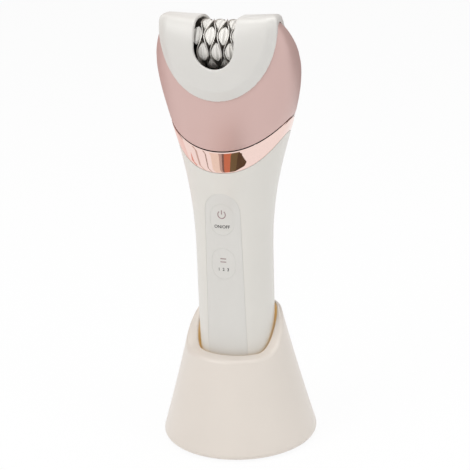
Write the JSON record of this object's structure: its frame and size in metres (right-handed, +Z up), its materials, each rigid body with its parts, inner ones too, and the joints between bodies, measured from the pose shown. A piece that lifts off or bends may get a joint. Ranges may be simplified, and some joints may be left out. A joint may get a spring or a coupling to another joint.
{
  "type": "epilator",
  "caption": "Upright epilator with a flared head, a drum of tweezer discs, a lift-off skin cap and soft keys, standing in a conical charging stand.",
  "frame": {"origin": "centre of the part's box at floor level, under the stand", "axes": "+Z up along the handle, -Y towards the front with the keys, +X to the right seen from the front"},
  "size_m": [0.0684, 0.0684, 0.1882],
  "materials": {
    "stand_plastic": "satin warm white",
    "handle_plastic": "satin white",
    "cover_plastic": "satin white",
    "key_plastic": "soft white",
    "ring_chrome": "rose gold plating, polished",
    "housing_paint": "rose satin paint",
    "cap_plastic": "satin white",
    "disc_steel": "bright",
    "pad_plastic": "pale, moulded",
    "gear_plastic": "acetal",
    "frame_plastic": "dark, moulded",
    "inner_plastic": "moulded",
    "shaft_steel": "ground",
    "motor_steel": "plated",
    "cell_wrap": "shrink sleeve",
    "board_green": "lacquered board",
    "switch_black": "moulded",
    "contact_brass": "plated",
    "foot_rubber": "soft"
  },
  "bodies": {
    "stand": {"stand_shell": "stand_plastic", "stand_base_plate": "stand_plastic", "stand_foot_1": "foot_rubber", "stand_foot_2": "foot_rubber", "stand_foot_3": "foot_rubber", "stand_foot_4": "foot_rubber", "stand_screw_1": "shaft_steel", "stand_screw_2": "shaft_steel", "stand_screw_3": "shaft_steel", "contact_post_left": "contact_brass", "contact_post_right": "contact_brass", "charge_board": "board_green", "power_inlet": "switch_black"},
    "handle": {"handle_body": "handle_plastic", "front_cover": "cover_plastic", "bottom_cap": "handle_plastic", "charge_pad_left": "contact_brass", "charge_pad_right": "contact_brass", "chassis": "inner_plastic", "battery_cell": "cell_wrap", "motor_can": "motor_steel", "motor_end_cap": "inner_plastic", "control_board": "board_green", "power_switch": "switch_black", "level_switch": "switch_black", "board_screw_upper": "shaft_steel", "board_screw_lower": "shaft_steel", "neck_plate": "inner_plastic", "shaft_seal": "foot_rubber", "trim_ring": "ring_chrome"},
    "power_key": {"power_button": "key_plastic"},
    "level_key": {"level_button": "key_plastic"},
    "rotor": {"motor_shaft": "shaft_steel"},
    "head": {"head_housing": "housing_paint", "head_base_cover": "inner_plastic", "head_frame": "frame_plastic", "head_screw_front": "shaft_steel", "head_screw_rear": "shaft_steel", "drum_axle": "shaft_steel", "crown_axle": "shaft_steel"},
    "input": {"input_shaft": "gear_plastic"},
    "crown": {"crown_gear": "gear_plastic"},
    "idler": {"idler_gear": "gear_plastic"},
    "drum": {"drum_gear": "gear_plastic", "tweezer_disc_1": "disc_steel", "tweezer_disc_2": "disc_steel", "tweezer_disc_3": "disc_steel", "tweezer_disc_4": "disc_steel", "tweezer_disc_5": "disc_steel", "tweezer_disc_6": "disc_steel", "pad_spacer_1": "pad_plastic", "pad_spacer_2": "pad_plastic", "pad_spacer_3": "pad_plastic", "pad_spacer_4": "pad_plastic", "pad_spacer_5": "pad_plastic", "pad_spacer_6": "pad_plastic", "pad_spacer_7": "pad_plastic"},
    "cap": {"skin_cap": "cap_plastic"}
  },
  "joints": [
    {"name": "lift_out", "type": "slide", "parent": "stand", "child": "handle", "axis": [0, 0, 1], "range_m": [0, 0.07]},
    {"name": "power_press", "type": "slide", "parent": "handle", "child": "power_key", "axis": [0, 1, 0], "range_m": [0, 0.0005], "stiffness_N_per_m": 400},
    {"name": "level_press", "type": "slide", "parent": "handle", "child": "level_key", "axis": [0, 1, 0], "range_m": [0, 0.0005], "stiffness_N_per_m": 400},
    {"name": "motor_spin", "type": "hinge", "parent": "handle", "child": "rotor", "pos_m": [0, 0.002, 0.12], "axis": [0, 0, 1], "continuous": true},
    {"name": "head_release", "type": "slide", "parent": "handle", "child": "head", "axis": [0, 0, 1], "range_m": [0, 0.03]},
    {"name": "input_spin", "type": "hinge", "parent": "head", "child": "input", "pos_m": [0, 0.002, 0.14], "axis": [0, 0, 1], "continuous": true},
    {"name": "crown_spin", "type": "hinge", "parent": "head", "child": "crown", "pos_m": [0, 0.002, 0.1585], "axis": [1, 0, 0], "continuous": true},
    {"name": "idler_spin", "type": "hinge", "parent": "head", "child": "idler", "pos_m": [0, 0.00568, 0.16823], "axis": [1, 0, 0], "continuous": true},
    {"name": "drum_spin", "type": "hinge", "parent": "head", "child": "drum", "pos_m": [0, -0.006, 0.1752], "axis": [1, 0, 0], "continuous": true},
    {"name": "cap_pull", "type": "slide", "parent": "head", "child": "cap", "axis": [0, 0, 1], "range_m": [0, 0.02]}
  ],
  "couplings": [
    {"joint": "motor_spin", "follows": "drum_spin", "ratio": 4.05},
    {"joint": "input_spin", "follows": "drum_spin", "ratio": 4.05},
    {"joint": "crown_spin", "follows": "drum_spin", "ratio": 1.8},
    {"joint": "idler_spin", "follows": "drum_spin", "ratio": -1.125}
  ]
}
